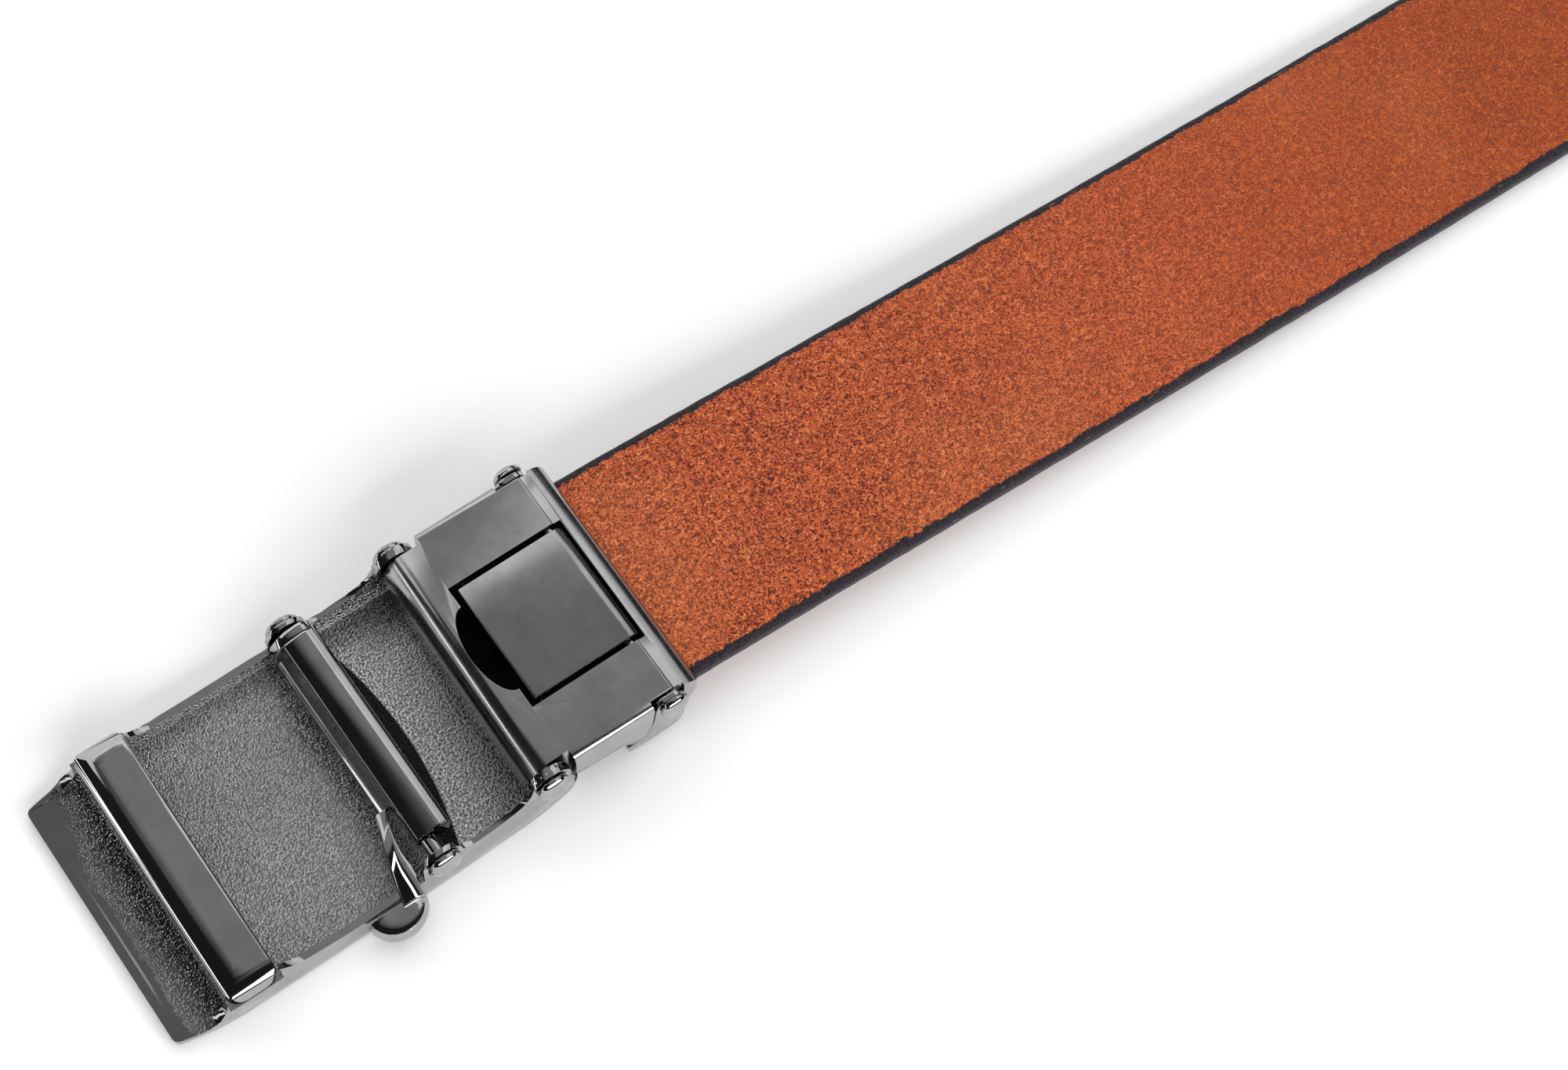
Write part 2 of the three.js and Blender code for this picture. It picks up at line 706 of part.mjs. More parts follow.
// Side view of the flap: flat plate, and the cam round its pin at the strap end.
function flapSection() {
  const left = windowLeft + flapGap;
  const right = windowRight - flapGap - 0.2;
  const under = clampTop - flapThick;
  return outline([
    [left, clampTop, 0.3],
    [right, clampTop, 0.9],
    [flapX + camRadius + 0.2, flapZ + 0.5, 0.5],
    ...arcRows(flapX, flapZ, camRadius, 0, -160, 8),
    [flapX - camRadius - 0.9, under, 0.6],
    [left + 0.4, under, 0.2],
    [left, under + 0.4, 0.2],
  ]);
}

function makeFlap() {
  const half = windowHalf - flapGap + 0.15;
  const left = windowLeft + flapGap;
  const plate = alongY(flapSection(), -half, half, 0.15, 4);
  const cheek = outline([
    [left + 1.0, clampTop - 0.5],
    [left + 1.8, clampTop - flapSideDrop, 0.6],
    [flapX - 1.0, flapZ - camRadius + 0.1, 0.4],
    [flapX, flapZ + 1.0],
  ]);
  const cheeks = bothSides((side) => sideSlab(cheek, side, half - flapSide, half - 0.05));
  return cut(join(plate, cheeks), bore(flapX, flapZ, flapPinRadius + runningGap, clampHalf));
}

// Height of the strap's underside as a share of its lift, by share of the free run past the clamp.
const strapFall = [
  { along: 0.0, lift: 1.0 },
  { along: 0.06, lift: 0.965 },
  { along: 0.15, lift: 0.83 },
  { along: 0.3, lift: 0.6 },
  { along: 0.5, lift: 0.33 },
  { along: 0.7, lift: 0.12 },
  { along: 0.86, lift: 0.02 },
  { along: 1.0, lift: 0.0 },
];

function strapRoute() {
  const runFrom = clampRight - collarWidth;
  const runTo = strapRight - strapRestLength;
  const points = [
    new THREE.Vector3(strapLeft, 0, strapLift),
    new THREE.Vector3((strapLeft + runFrom) / 2, 0, strapLift),
    ...strapFall.map((row) => {
      return new THREE.Vector3(runFrom + row.along * (runTo - runFrom), 0, row.lift * strapLift);
    }),
    new THREE.Vector3((runTo + strapRight) / 2, 0, 0),
    new THREE.Vector3(strapRight, 0, 0),
  ];
  return new THREE.CatmullRomCurve3(points, false, 'centripetal').getSpacedPoints(36);
}

// Leather strap: a rounded section carried along its route, then turned by its slight yaw in the clamp.
function makeStrap() {
  const half = strapWidth / 2;
  const ring = outline([
    [-half, 0, strapEdgeRound],
    [half, 0, strapEdgeRound],
    [half, strapThick, strapEdgeRound],
    [-half, strapThick, strapEdgeRound],
  ]).getPoints(roundSteps);
  if (ring[0].distanceTo(ring[ring.length - 1]) < fitGap / 10) ring.pop();
  const route = strapRoute();
  const positions = [];
  route.forEach((point) => {
    const height = Math.max(point.z, 0);
    ring.forEach((corner) => positions.push(point.x, corner.x, height + corner.y));
  });
  const count = ring.length;
  const faces = [];
  for (let i = 0; i < route.length - 1; i += 1) {
    for (let j = 0; j < count; j += 1) {
      const a = i * count + j;
      const b = i * count + ((j + 1) % count);
      faces.push(a, b, a + count, b, b + count, a + count);
    }
  }
  const last = (route.length - 1) * count;
  THREE.ShapeUtils.triangulateShape(ring, []).forEach(([a, b, c]) => {
    faces.push(a, c, b);
    faces.push(last + a, last + b, last + c);
  });
  const geometry = new THREE.BufferGeometry();
  geometry.setAttribute('position', new THREE.Float32BufferAttribute(positions, 3));
  geometry.setIndex(faces);
  const turnAt = (strapLeft + clampRight) / 2;
  return geometry.translate(-turnAt, 0, 0).rotateZ(strapYaw).translate(turnAt, 0, 0);
}

const group = new THREE.Group();

function place(name, geometry, material) {
  const mesh = new THREE.Mesh(geometry, material.clone());
  mesh.name = name;
  group.add(mesh);
}

const blackNickel = new THREE.MeshStandardMaterial({ color: 0x4a4a4c, roughness: 0.16, metalness: 1 });
const suede = new THREE.MeshStandardMaterial({ color: 0xb95026, roughness: 0.95, metalness: 0 });

const pinSeat = earOuter + headSeat;

place('buckle_frame', toGeometry(makeFrame()), blackNickel);
place('pawl_pin', toGeometry(makePin(pawlX, pawlZ, pinRadius, pinSeat, headRadius, headHeight)), blackNickel);
place('pawl', toGeometry(makePawl()), blackNickel);
place('clamp_rivet_near', toGeometry(makeRivet(-1, tongueHalf - 3.2, pinSeat)), blackNickel);
place('clamp_rivet_far', toGeometry(makeRivet(1, tongueHalf - 3.2, pinSeat)), blackNickel);
place('clamp_housing', toGeometry(makeCover()), blackNickel);
place('clamp_base', toGeometry(makeBase()), blackNickel);
place('clamp_flap', toGeometry(makeFlap()), blackNickel);
const flapPin = makePin(flapX, flapZ, flapPinRadius, jawOuter + 0.2, flapHeadRadius, headHeight);
place('flap_pin', toGeometry(flapPin), blackNickel);
place('strap', makeStrap(), suede);

export default group;
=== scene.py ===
import math

import bmesh
import bpy
from mathutils import Matrix, Vector, noise


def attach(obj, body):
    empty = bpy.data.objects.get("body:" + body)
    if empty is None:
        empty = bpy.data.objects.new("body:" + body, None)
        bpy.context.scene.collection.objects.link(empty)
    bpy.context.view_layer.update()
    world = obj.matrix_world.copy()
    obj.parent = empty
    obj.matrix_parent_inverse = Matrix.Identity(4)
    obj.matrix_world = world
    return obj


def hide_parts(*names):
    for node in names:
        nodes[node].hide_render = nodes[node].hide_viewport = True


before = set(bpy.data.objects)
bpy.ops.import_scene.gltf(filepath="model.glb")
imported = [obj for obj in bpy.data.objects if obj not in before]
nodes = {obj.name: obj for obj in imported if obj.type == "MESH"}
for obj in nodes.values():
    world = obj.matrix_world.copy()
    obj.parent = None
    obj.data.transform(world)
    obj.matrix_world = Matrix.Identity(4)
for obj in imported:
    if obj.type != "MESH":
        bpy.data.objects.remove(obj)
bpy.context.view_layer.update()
mm = 0.001

# Camera at the photograph's place, found by fitting the belt's known sizes.
view = {
    "eye": (-0.03420, -0.13343, 0.40181),
    "right": (0.8136, -0.58017, 0.03817),
    "up": (0.52349, 0.75952, 0.38612),
    "back": (-0.25301, -0.29417, 0.92166),
    "lens": 70.2,
    "sensor": 36.0,
}


def placeCamera():
    data = bpy.data.cameras.new("camera")
    data.sensor_width = view["sensor"]
    data.lens = view["lens"]
    data.clip_start = 0.01
    data.clip_end = 20
    camera = bpy.data.objects.new("camera", data)
    turn = Matrix((view["right"], view["up"], view["back"])).transposed().to_4x4()
    camera.matrix_world = Matrix.Translation(view["eye"]) @ turn
    bpy.context.scene.collection.objects.link(camera)
    bpy.context.scene.camera = camera


placeCamera()
print("camera placed")


class Value:
    # a socket that takes part in sums: each one adds a Math node
    def __init__(self, finish, socket):
        self.finish = finish
        self.socket = socket

    def __add__(self, other):
        return self.finish.maths("ADD", self, other)

    def __sub__(self, other):
        return self.finish.maths("SUBTRACT", self, other)

    def __rsub__(self, other):
        return self.finish.maths("SUBTRACT", other, self)

    def __mul__(self, other):
        return self.finish.maths("MULTIPLY", self, other)

    __radd__ = __add__
    __rmul__ = __mul__


def withAlpha(value):
    return (*value, 1) if isinstance(value, tuple) else value


class Finish:
    def __init__(self, name):
        self.material = bpy.data.materials.new(name)
        self.material.use_nodes = True
        self.tree = self.material.node_tree
        self.shader = self.tree.nodes["Principled BSDF"]
        where = self.tree.nodes.new("ShaderNodeTexCoord")
        self.place = Value(self, where.outputs["Object"])
        self.facing = Value(self, where.outputs["Normal"])

    def node(self, kind, settings=None, **values):
        # sockets are given by name, or by number as s0, s1 and so on
        made = self.tree.nodes.new(kind)
        for key, value in (settings or {}).items():
            setattr(made, key, value)
        for key, value in values.items():
            numbered = key[0] == "s" and key[1:].isdigit()
            self.feed(made.inputs[int(key[1:]) if numbered else key], value)
        return Value(self, made.outputs[0])

    def feed(self, socket, value):
        if isinstance(value, Value):
            self.tree.links.new(value.socket, socket)
        else:
            socket.default_value = value

    def maths(self, operation, a, b=0.0):
        return self.node("ShaderNodeMath", {"operation": operation}, s0=a, s1=b)

    def larger(self, a, b):
        return self.maths("MAXIMUM", a, b)

    def axes(self, vector):
        split = self.tree.nodes.new("ShaderNodeSeparateXYZ")
        self.feed(split.inputs[0], vector)
        return [Value(self, split.outputs[i]) for i in range(3)]

    def mapped(self, vector, way="POINT", **values):
        return self.node("ShaderNodeMapping", {"vector_type": way}, Vector=vector, **values)

    def ramp(self, value, low, high):
        # 0 at low, 1 at high, smooth between
        return self.node(
            "ShaderNodeMapRange", {"interpolation_type": "SMOOTHSTEP"},
            s0=value, s1=low, s2=high, s3=0.0, s4=1.0)

    def grain(self, size, detail=2.0, rough=0.5, vector=None, warp=0.0):
        return self.node(
            "ShaderNodeTexNoise", Vector=vector or self.place,
            Scale=1.0 / size, Detail=detail, Roughness=rough, Distortion=warp)

    def dots(self, size, edge, core, vector=None):
        distance = self.node("ShaderNodeTexVoronoi", Vector=vector or self.place, Scale=1.0 / size)
        return self.ramp(distance, edge, core)

    def blendColour(self, factor, a, b):
        made = self.tree.nodes.new("ShaderNodeMix")
        made.data_type = "RGBA"
        for socket, value in ((made.inputs[0], factor), (made.inputs[6], a), (made.inputs[7], b)):
            self.feed(socket, withAlpha(value))
        return Value(self, made.outputs[2])

    def bump(self, height, distance, strength=1.0, **under):
        return self.node("ShaderNodeBump", Height=height, Distance=distance, Strength=strength, **under)

    def set(self, **values):
        for key, value in values.items():
            self.feed(self.shader.inputs[key.replace("_", " ")], withAlpha(value))
        return self.material


nickel = {
    "colour": (0.43, 0.43, 0.44),
    "dark": (0.36, 0.36, 0.37),
    # near black for painted shade and painted dark reflections
    "paintedDark": (0.014, 0.014, 0.015),
    # painted shade in pebble valleys and on the lip, painted highlights on pebble tips
    "shadeGrey": (0.10, 0.10, 0.105),
    "highlightWhite": (0.90, 0.90, 0.91),
    # lowest and highest roughness
    "polish": (0.05, 0.12),
    "satin": (0.16, 0.24),
    "castPolish": (0.05, 0.11),
    # share of the colour kept on the flap: painted shade over the whole flap
    "leverShade": 0.78,
    "smudge": 9 * mm,
    "fineSmudge": 0.8 * mm,
    "cloud": 5 * mm,
    "castCloud": 6 * mm,
    "pit": 1.9 * mm,
    "ripple": 2.2 * mm,
    "wave": 0.015 * mm,
    "castWave": 0.012 * mm,
}


def smudges(finish, roughness):
    # soft handling marks in the gloss
    low, high = roughness
    broad = finish.grain(nickel["smudge"], 3, 0.6)
    fine = finish.grain(nickel["fineSmudge"], 2, 0.5)
    return finish.ramp(broad * 0.8 + fine * 0.2, 0.35, 0.7) * (high - low) + low


def clouded(finish, size, depth=1.0):
    cloud = finish.ramp(finish.grain(size, 3, 0.6), 0.3, 0.75)
    light, dark = (tuple(part * depth for part in nickel[key]) for key in ("colour", "dark"))
    return finish.blendColour(cloud, light, dark)


def polishedNickel(name, roughness, depth=1.0, shadeInside=None):
    finish = Finish(name)
    colour = clouded(finish, nickel["cloud"], depth)
    pits = finish.dots(nickel["pit"], 0.045, 0.02)
    rough = smudges(finish, roughness) + pits * 0.25
    # painted shade: inside, the colour turns near black and the finish rougher
    if shadeInside:
        within = shadeInside(finish)
        colour = finish.blendColour(within, colour, nickel["paintedDark"])
        rough = rough + within * 0.5
    skin = finish.grain(nickel["ripple"], 2, 0.5)
    return finish.set(
        Base_Color=colour, Metallic=1.0, Roughness=rough,
        Normal=finish.bump(skin + pits * 0.02, nickel["wave"], 0.35))


jaw = {
    "floor": 5.4 * mm,
    "fade": 0.4 * mm,
    "half": 18.2 * mm,
}


def shadedJaw(finish):
    # painted shade, and a rougher finish, inside the folded sheet: low, between the walls, facing up
    x, y, z = finish.axes(finish.place)
    within = finish.ramp(z, jaw["floor"] + jaw["fade"], jaw["floor"])
    within = within * finish.ramp(finish.maths("ABSOLUTE", y), jaw["half"] + jaw["fade"], jaw["half"])
    return within * finish.ramp(finish.axes(finish.facing)[2], 0.2, 0.6)


casting = {
    "pebble": 0.27 * mm,
    "bayGrowth": 1.45,
    "bayFrom": 9 * mm,
    "bayFull": 13 * mm,
    "bayFade": 1 * mm,
    "height": 0.06 * mm,
    "lean": (0.06 * mm, -0.075 * mm, 0.0),
    "floor": 1.2 * mm,
    "floorFade": (1.3 * mm, 0.7 * mm),
    "lipStart": -30.2 * mm,
    "lipFade": (-0.5 * mm, 0.9 * mm),
    "fray": 3.6 * mm,
    "fraySize": 2.4 * mm,
    "cornerFrom": 8 * mm,
    "cornerFull": 18 * mm,
    "cornerPull": 1.8 * mm,
    # share of painted shade over the lip
    "lipShade": 0.62,
    "bridgeFoot": -24.6 * mm,
    "bridgeFade": 0.3 * mm,
    "creaseFade": (5.2 * mm, 1.2 * mm),
    "bladeFoot": 6.6 * mm,
    "bladeFade": 1.2 * mm,
    "underFade": (4.4 * mm, 1.6 * mm),
    "barEdge": 13.6 * mm,
    "barShade": 1.9 * mm,
    "barHalf": 15 * mm,
    "barFade": (0.25 * mm, -0.05 * mm),
}


def castPebble(finish, bay, where):
    small = finish.grain(casting["pebble"], 2, 0.55, where)
    large = finish.grain(casting["pebble"] * casting["bayGrowth"], 2, 0.5, where)
    return small * (1 - bay) + large * bay


def barReflection(finish, x, y):
    # the bar's own dark reflection beside it, widest in the middle
    bow = y * (1 / casting["barHalf"])
    beside = x - (1 - bow * bow) * casting["barShade"] - casting["barEdge"]
    bayOn = finish.ramp(x, casting["bayFrom"], casting["bayFrom"] + casting["bayFade"])
    return finish.ramp(beside, *casting["barFade"]) * bayOn


def castNickel():
    # polished casting with a pebbled tray and lip
    finish = Finish("castNickel")
    x, y, z = finish.axes(finish.place)
    up = finish.ramp(finish.axes(finish.facing)[2], 0.55, 0.8)
    low = finish.ramp(z, *(casting["floor"] + fade for fade in casting["floorFade"]))
    wander = finish.grain(casting["fraySize"], 3, 0.65)
    corner = finish.ramp(y, casting["cornerFrom"], casting["cornerFull"]) * casting["cornerPull"]
    edge = x + (wander - 0.5) * casting["fray"] - corner
    mask = up * low * finish.ramp(edge, *(casting["lipStart"] + fade for fade in casting["lipFade"]))
    # a second reading a little to one side tells which flank of a pebble is lit
    bay = finish.ramp(x, casting["bayFrom"], casting["bayFull"])
    here = castPebble(finish, bay, finish.place)
    beside = castPebble(finish, bay, finish.mapped(finish.place, Location=casting["lean"]))
    lit = (here - beside) * 2.0 + (here - 0.5) * 1.2 + 0.5
    # painted shade and painted dark reflection on the lip, most of all in the crease before the bridge,
    # and along the pawl's blade
    lip = finish.ramp(x, casting["bridgeFoot"] + casting["bridgeFade"], casting["bridgeFoot"]) * up
    soft = edge * 0.6 + x * 0.4
    crease = lip * finish.ramp(soft, *(casting["bridgeFoot"] - fade for fade in casting["creaseFade"]))
    under = finish.ramp(soft, *(casting["bladeFoot"] - fade for fade in casting["underFade"]))
    under = under * finish.ramp(x, casting["bladeFoot"] + casting["bladeFade"], casting["bladeFoot"]) * 0.9
    shade = finish.larger(crease, under) * mask
    bar = barReflection(finish, x, y) * mask
    # painted highlights on the pebbles' lit flanks and tips
    speck = finish.ramp(lit - crease * 0.12, 0.58, 0.70)
    highlit = finish.ramp(lit, 0.60, 0.9) * (0.5 + bay * 0.5)
    colour = clouded(finish, nickel["castCloud"])
    # painted shade over the lip
    colour = finish.blendColour(lip * casting["lipShade"], colour, nickel["shadeGrey"])
    # painted shade in the pebbles' valleys, painted highlights on their lit flanks
    colour = finish.blendColour(mask * finish.ramp(lit, 0.54, 0.2), colour, nickel["shadeGrey"])
    colour = finish.blendColour(mask * highlit, colour, nickel["highlightWhite"])
    # painted shade in the crease and along the blade, and the bar's painted dark reflection
    colour = finish.blendColour(finish.larger(shade * 0.96, bar), colour, nickel["paintedDark"])
    # painted highlights on pebble tips inside the painted shade
    colour = finish.blendColour(shade * speck, colour, nickel["highlightWhite"])
    skin = finish.bump(finish.grain(nickel["ripple"], 2, 0.5), nickel["castWave"], 0.4)
    pebble = finish.ramp(here, 0.32, 0.68)
    return finish.set(
        Base_Color=colour, Metallic=1.0, Roughness=smudges(finish, nickel["castPolish"]) + mask * 0.12,
        Normal=finish.bump(pebble * mask, casting["height"], Normal=skin))


edges = {
    "angle": math.radians(32),
    "segments": 3,
    "merge": 0.002 * mm,
    "flat": math.radians(0.6),
}


def dressed(name, body, finish, width):
    # a merged copy of the CAD node with finely rounded edges
    mesh = bmesh.new()
    mesh.from_mesh(nodes[name].data)
    bmesh.ops.remove_doubles(mesh, verts=mesh.verts, dist=edges["merge"])
    bmesh.ops.dissolve_limit(
        mesh, angle_limit=edges["flat"], use_dissolve_boundaries=False,
        verts=mesh.verts, edges=mesh.edges, delimit=set())
    bmesh.ops.recalc_face_normals(mesh, faces=mesh.faces)
    piece = pieceOf(mesh, name + "_skin", finish)
    rounding = piece.modifiers.new("edges", "BEVEL")
    rounding.limit_method = "ANGLE"
    rounding.angle_limit = edges["angle"]
    rounding.width = width
    rounding.segments = edges["segments"]
    rounding.use_clamp_overlap = True
    rounding.harden_normals = True
    rounding.miter_outer = "MITER_ARC"
    bakeModifiers(piece)
    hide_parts(name)
    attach(piece, body)


def pieceOf(mesh, name, finish):
    data = bpy.data.meshes.new(name)
    mesh.to_mesh(data)
    mesh.free()
    for polygon in data.polygons:
        polygon.use_smooth = True
    data.materials.append(finish)
    piece = bpy.data.objects.new(name, data)
    bpy.context.scene.collection.objects.link(piece)
    return piece


def bakeModifiers(piece):
    graph = bpy.context.evaluated_depsgraph_get()
    made = bpy.data.meshes.new_from_object(piece.evaluated_get(graph))
    piece.modifiers.clear()
    piece.data = made


polished = polishedNickel("polishedNickel", nickel["polish"])
satin = polishedNickel("satinNickel", nickel["satin"])
# the folded sheet, with painted shade inside
folded = polishedNickel("foldedNickel", nickel["polish"], shadeInside=shadedJaw)
# the flap: a darker copy of the satin nickel, painted shade
lever = polishedNickel("leverNickel", nickel["satin"], nickel["leverShade"])
cast = castNickel()

# node, its body, finish and width of the rounded edge
metalPieces = (
    ("buckle_frame", "buckle", cast, 0.22 * mm),
    ("pawl_pin", "buckle", polished, 0.12 * mm),
    ("pawl", "pawl", polished, 0.26 * mm),
    ("clamp_rivet_near", "clamp", polished, 0.12 * mm),
    ("clamp_rivet_far", "clamp", polished, 0.12 * mm),
    ("clamp_housing", "clamp", satin, 0.22 * mm),
    ("clamp_base", "clamp", folded, 0.16 * mm),
    ("clamp_flap", "flap", lever, 0.24 * mm),
    ("flap_pin", "clamp", polished, 0.12 * mm),
)
for metalPiece in metalPieces:
    dressed(*metalPiece)
print("metal pieces dressed")


strap = {
    "left": 32.9 * mm,
    "right": 232 * mm,
    "width": 35 * mm,
    "thick": 3 * mm,
    "lift": 5.6 * mm,
    "yaw": math.radians(-1.515),
    "turnX": 42.15 * mm,
    "runFrom": 47.3 * mm,
    "runTo": 218 * mm,
    "edgeRound": 1.0 * mm,
    "edgeSegments": 6,
    "along": 330,
    "across": 60,
    # share of the width where the edge starts to sink, and the share over which it does
    "edgeFrom": 0.36,
    "edgeRun": 0.14,
    "edgeSink": 0.12 * mm,
    "nap": 0.035 * mm,
    "wave": 0.05 * mm,
    "sideWander": 0.06 * mm,
    # share of the lift at shares of the free run
    "fall": (
        (0.0, 1.0), (0.06, 0.965), (0.15, 0.83), (0.3, 0.6),
        (0.5, 0.33), (0.7, 0.12), (0.86, 0.02), (1.0, 0.0)),
}

suede = {
    "colour": (0.44, 0.077, 0.022),
    "pale": (0.72, 0.26, 0.10),
    "deep": (0.09, 0.012, 0.006),
    "endTone": (0.35, 0.058, 0.009),
    # edge paint, also used as painted shade over the clamped end
    "paintAndShade": (0.010, 0.007, 0.011),
    "paintSheen": (0.032, 0.024, 0.035),
    "fibre": (0.45, 0.26, 0.15),
    "speck": (0.62, 0.48, 0.36),
    "nap": 0.30 * mm,
    "curl": 0.66 * mm,
    "blotch": 9 * mm,
    "patch": 34 * mm,
    "speckGap": 5.5 * mm,
    "relief": 0.16 * mm,
    "coarseTo": 70 * mm,
    "fineFrom": 190 * mm,
    "endToneFrom": 130 * mm,
    "endToneTo": 220 * mm,
    "margin": 1.25 * mm,
    "marginFade": (-0.12 * mm, 0.16 * mm),
    "creep": 1.5 * mm,
    "creepSize": 1.3 * mm,
    "waver": 0.7 * mm,
    "waverSize": 5 * mm,
    # painted shade over the clamped end reaches this far
    "clampShadeTo": 49.5 * mm,
    "clampShadeFade": 0.6 * mm,
    "strand": 0.5 * mm,
    "strandStretch": (7, 1, 1),
}


def strapBack():
    # offset that puts the pattern's origin on the strap's middle line
    spin = Matrix.Rotation(-strap["yaw"], 3, "Z")
    middle = Vector((strap["turnX"], 0, 0))
    return tuple(middle - spin @ middle)


def paintedMarginAndShade(finish, turned, x, y, creep):
    # paint that creeps unevenly over the nap from the side, and painted shade all over under the clamp
    waver = finish.grain(suede["waverSize"], 2, 0.5, turned)
    reach = finish.maths("ABSOLUTE", y) + (creep - 0.5) * suede["creep"] + (waver - 0.5) * suede["waver"]
    start = strap["width"] / 2 - suede["margin"]
    margin = finish.ramp(reach, *(start + fade for fade in suede["marginFade"]))
    clampShade = finish.ramp(x, suede["clampShadeTo"] + suede["clampShadeFade"], suede["clampShadeTo"])
    return finish.larger(margin, clampShade)


def suedeLeather():
    finish = Finish("suedeLeather")
    turned = finish.mapped(finish.place, Location=strapBack(), Rotation=(0, 0, -strap["yaw"]))
    x, y, z = finish.axes(turned)
    # the nap is curly near the buckle and lies smoother towards the free run
    nap = finish.grain(suede["nap"], 2.5, 0.65, turned, 0.5)
    curl = finish.grain(suede["curl"], 2, 0.6, turned, 1.2)
    pile = nap * 0.55 + curl * 0.45
    tuft = finish.ramp(pile, 0.42, 0.49)
    smooth = finish.ramp(x, suede["coarseTo"], suede["fineFrom"]) * 0.55
    glint = finish.ramp(pile, 0.53, 0.62) * (0.85 - smooth * 0.9)
    blotch = finish.ramp(finish.grain(suede["blotch"], 3, 0.6, turned), 0.4, 0.8)
    patch = finish.ramp(finish.grain(suede["patch"], 2, 0.5, turned), 0.45, 0.75)
    specks = finish.dots(suede["speckGap"], 0.03, 0.012, turned)
    # darker, more saturated colour towards the free end
    endTone = finish.ramp(x, suede["endToneFrom"], suede["endToneTo"])
    colour = finish.blendColour(endTone, suede["colour"], suede["endTone"])
    # painted shade in the nap's hollows, weaker where the nap lies smoother
    colour = finish.blendColour((1 - tuft) * (1 - smooth), colour, suede["deep"])
    # painted glints on the nap's tips
    colour = finish.blendColour(glint, colour, suede["pale"])
    colour = finish.blendColour(blotch * 0.12, colour, suede["deep"])
    colour = finish.blendColour(patch * 0.12, colour, suede["pale"])
    colour = finish.blendColour(specks * 0.8, colour, suede["speck"])
    creep = finish.grain(suede["creepSize"], 4, 0.7, turned)
    paintAndShade = paintedMarginAndShade(finish, turned, x, y, creep)
    drawn = finish.mapped(turned, "TEXTURE", Scale=suede["strandStretch"])
    fibre = finish.ramp(finish.grain(suede["strand"], 2, 0.5, drawn), 0.70, 0.76) * paintAndShade
    dark = finish.blendColour(finish.ramp(nap, 0.4, 0.7), suede["paintAndShade"], suede["paintSheen"])
    # edge paint along the margins, painted shade over the clamped end
    colour = finish.blendColour(paintAndShade, colour, dark)
    colour = finish.blendColour(fibre * 0.55, colour, suede["fibre"])
    rough = 0.96 - paintAndShade * finish.ramp(nap, 0.3, 0.7) * 0.42
    height = tuft * 0.6 + curl * 0.5 + creep * 0.2
    return finish.set(
        Base_Color=colour, Roughness=rough, Sheen_Weight=0.2, Sheen_Roughness=0.45,
        Specular_IOR_Level=0.2, Normal=finish.bump(height, suede["relief"], 0.9))


def strapLift(x):
    # height of the strap's underside, a smooth curve through the rows of its fall
    share = min(max((x - strap["runFrom"]) / (strap["runTo"] - strap["runFrom"]), 0.0), 1.0)
    rows = strap["fall"]
    for i in range(len(rows) - 1):
        if share <= rows[i + 1][0]:
            before = rows[max(i - 1, 0)]
            after = rows[min(i + 2, len(rows) - 1)]
            (a, va), (b, vb) = rows[i], rows[i + 1]
            slopeA = (vb - before[1]) / max(b - before[0], 1e-6)
            slopeB = (after[1] - va) / max(after[0] - a, 1e-6)
            t = (share - a) / (b - a)
            h = b - a
            return strap["lift"] * max(
                (2 * t**3 - 3 * t**2 + 1) * va + (t**3 - 2 * t**2 + t) * h * slopeA
                + (3 * t**2 - 2 * t**3) * vb + (t**3 - t**2) * h * slopeB, 0.0)
    return 0.0


def sliced(mesh, axis, low, span, count):
    for i in range(1, count):
        at = Vector((0, 0, 0))
        at[axis] = low + span * i / count
        normal = Vector((0, 0, 0))
        normal[axis] = 1
        bmesh.ops.bisect_plane(
            mesh, geom=mesh.verts[:] + mesh.edges[:] + mesh.faces[:], plane_co=at, plane_no=normal)


def strapBlank():
    mesh = bmesh.new()
    bmesh.ops.create_cube(mesh, size=1.0)
    length = strap["right"] - strap["left"]
    middle = ((strap["left"] + strap["right"]) / 2, 0, strap["thick"] / 2)
    bmesh.ops.scale(mesh, vec=(length, strap["width"], strap["thick"]), verts=mesh.verts)
    bmesh.ops.translate(mesh, vec=middle, verts=mesh.verts)
    longEdges = [e for e in mesh.edges if abs(e.verts[0].co.x - e.verts[1].co.x) > length / 2]
    bmesh.ops.bevel(
        mesh, geom=longEdges, offset=strap["edgeRound"], offset_type="OFFSET",
        segments=strap["edgeSegments"], profile=0.5, affect="EDGES", material=-1)
    sliced(mesh, 0, strap["left"], length, strap["along"])
    sliced(mesh, 1, -strap["width"] / 2, strap["width"], strap["across"])
    return mesh


def makeStrap():
    mesh = strapBlank()
    for vert in mesh.verts:
        x, y, z = vert.co
        past = (abs(y) - strap["width"] * strap["edgeFrom"]) / (strap["width"] * strap["edgeRun"])
        edge = min(max(past, 0.0), 1.0)
        top = z / strap["thick"]
        nap = noise.noise(Vector((x * 900, y * 900, z * 900))) * strap["nap"]
        wave = noise.noise(Vector((x * 60, y * 60, 3))) * strap["wave"]
        vert.co.z += strapLift(x) + top * (wave + nap) - top * strap["edgeSink"] * edge * edge
        side = noise.noise(Vector((x * 500, y * 90, z * 500))) * strap["sideWander"]
        vert.co.y += math.copysign(1, y) * side * edge
    away = Matrix.Translation((strap["turnX"], 0, 0))
    turn = away @ Matrix.Rotation(strap["yaw"], 4, "Z") @ away.inverted()
    bmesh.ops.transform(mesh, matrix=turn, verts=mesh.verts)
    bmesh.ops.recalc_face_normals(mesh, faces=mesh.faces)
    piece = pieceOf(mesh, "strap_leather", suedeLeather())
    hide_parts("strap")
    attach(piece, "clamp")


makeStrap()
print("strap made")


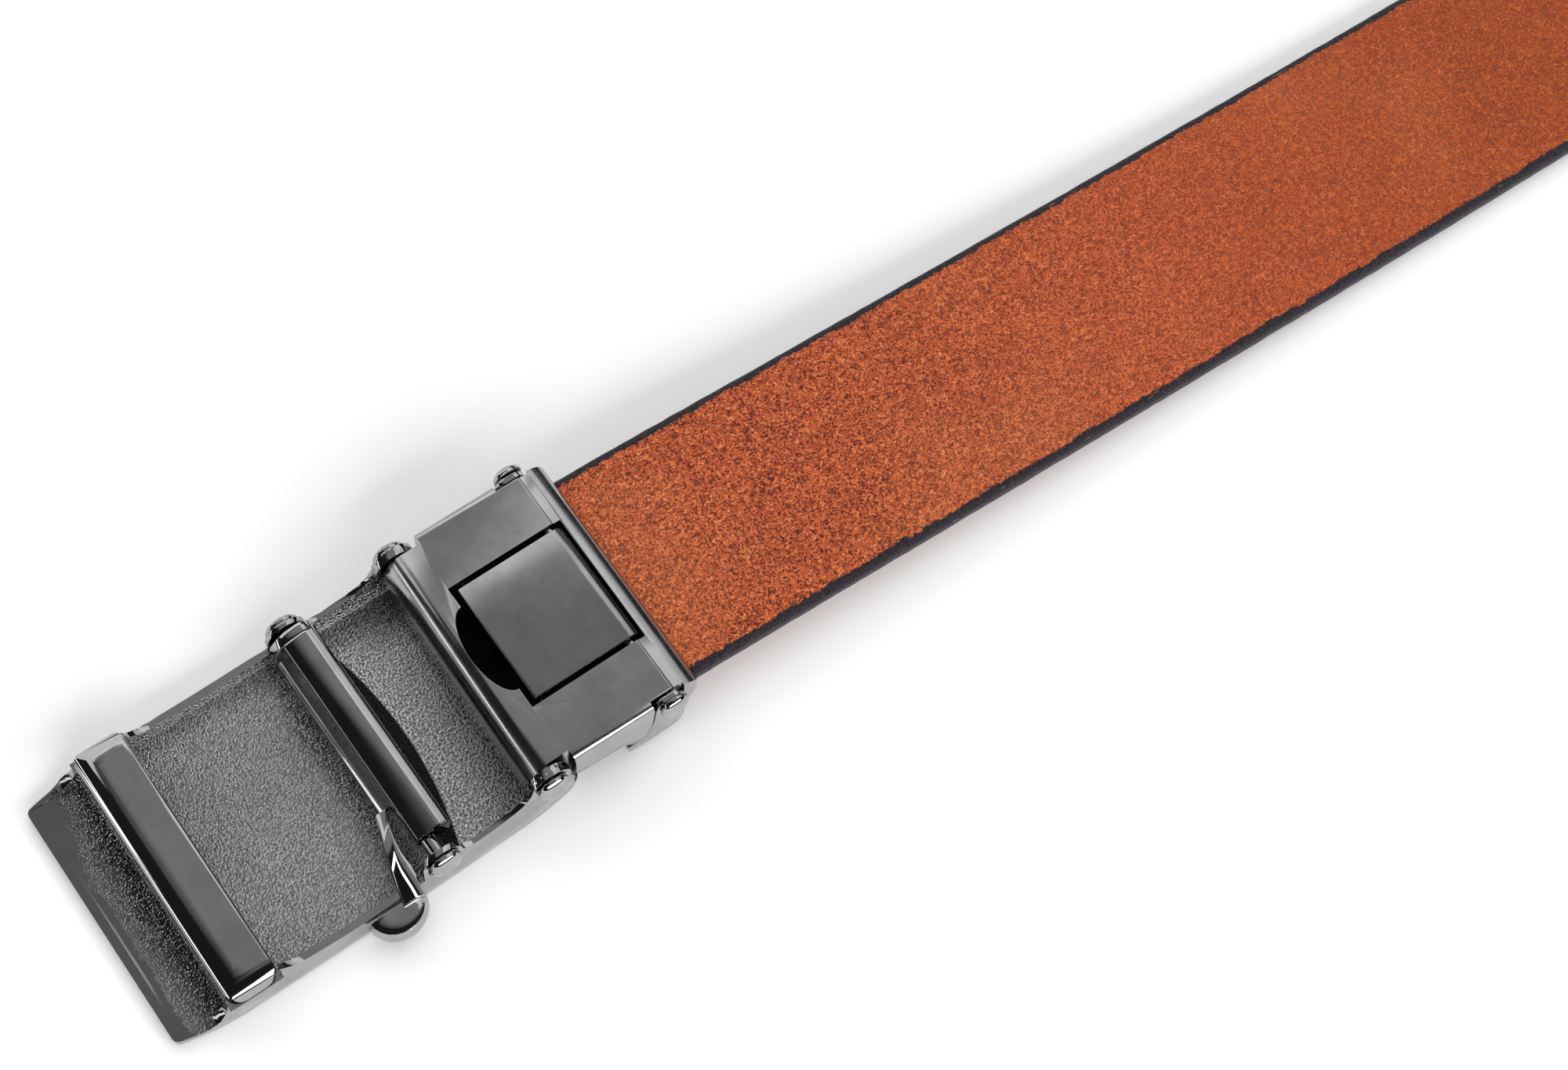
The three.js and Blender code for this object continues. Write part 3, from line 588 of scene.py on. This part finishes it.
studio = {
    "floor": (0.93, 0.93, 0.93),
    "floorDrop": 0.05 * mm,
    "floorSize": 4.0,
    "ceiling": 0.36,
    "walls": 0.02,
    "above": (0.25, 0.29, 0.92),
    "spread": (0.74, 0.92),
    "boxes": [
        # direction, distance, width, height, radiance, seen in the metal
        ((0.05, -0.84, 0.50), 1.3, 2.2, 0.62, 4.6, True),
        ((0.00, 0.87, 0.50), 1.3, 2.0, 1.05, 1.15, True),
        ((0.72, 0.22, 0.66), 1.3, 0.9, 0.95, 0.85, True),
        ((-0.94, 0.29, 0.17), 1.3, 1.6, 0.12, 3.0, True),
        ((0.15, 0.10, 0.98), 1.4, 2.4, 2.4, 0.80, False),
    ],
}


def makeFloor():
    mesh = bmesh.new()
    bmesh.ops.create_grid(mesh, x_segments=1, y_segments=1, size=studio["floorSize"])
    data = bpy.data.meshes.new("floor")
    mesh.to_mesh(data)
    mesh.free()
    floor = bpy.data.objects.new("floor", data)
    floor.location.z = -studio["floorDrop"]
    bpy.context.scene.collection.objects.link(floor)
    paper = Finish("paleFloor")
    data.materials.append(paper.set(Base_Color=studio["floor"], Roughness=0.9, Specular_IOR_Level=0.1))


def makeLights():
    for index, (way, distance, width, height, radiance, seen) in enumerate(studio["boxes"]):
        data = bpy.data.lights.new("softbox%d" % index, "AREA")
        data.shape = "RECTANGLE"
        data.size = width
        data.size_y = height
        data.energy = radiance * math.pi * width * height
        lamp = bpy.data.objects.new("softbox%d" % index, data)
        lamp.visible_glossy = seen
        place = Vector(way).normalized() * distance
        lamp.location = place
        lamp.rotation_euler = (-place).to_track_quat("-Z", "Y").to_euler()
        bpy.context.scene.collection.objects.link(lamp)


def makeSky():
    # soft ceiling patch over the table, dark walls round it
    world = bpy.data.worlds.new("studio")
    bpy.context.scene.world = world
    world.use_nodes = True
    tree = world.node_tree
    where = tree.nodes.new("ShaderNodeTexCoord")
    towards = tree.nodes.new("ShaderNodeVectorMath")
    towards.operation = "DOT_PRODUCT"
    towards.inputs[1].default_value = studio["above"]
    shade = tree.nodes.new("ShaderNodeMapRange")
    shade.interpolation_type = "SMOOTHSTEP"
    for index, value in enumerate((*studio["spread"], studio["walls"], studio["ceiling"])):
        shade.inputs[index + 1].default_value = value
    tree.links.new(where.outputs["Generated"], towards.inputs[0])
    tree.links.new(towards.outputs["Value"], shade.inputs[0])
    tree.links.new(shade.outputs[0], tree.nodes["Background"].inputs[0])
    tree.nodes["Background"].inputs[1].default_value = 1.0


makeFloor()
makeLights()
makeSky()
bpy.context.scene.view_settings.view_transform = "Standard"
print("studio set")
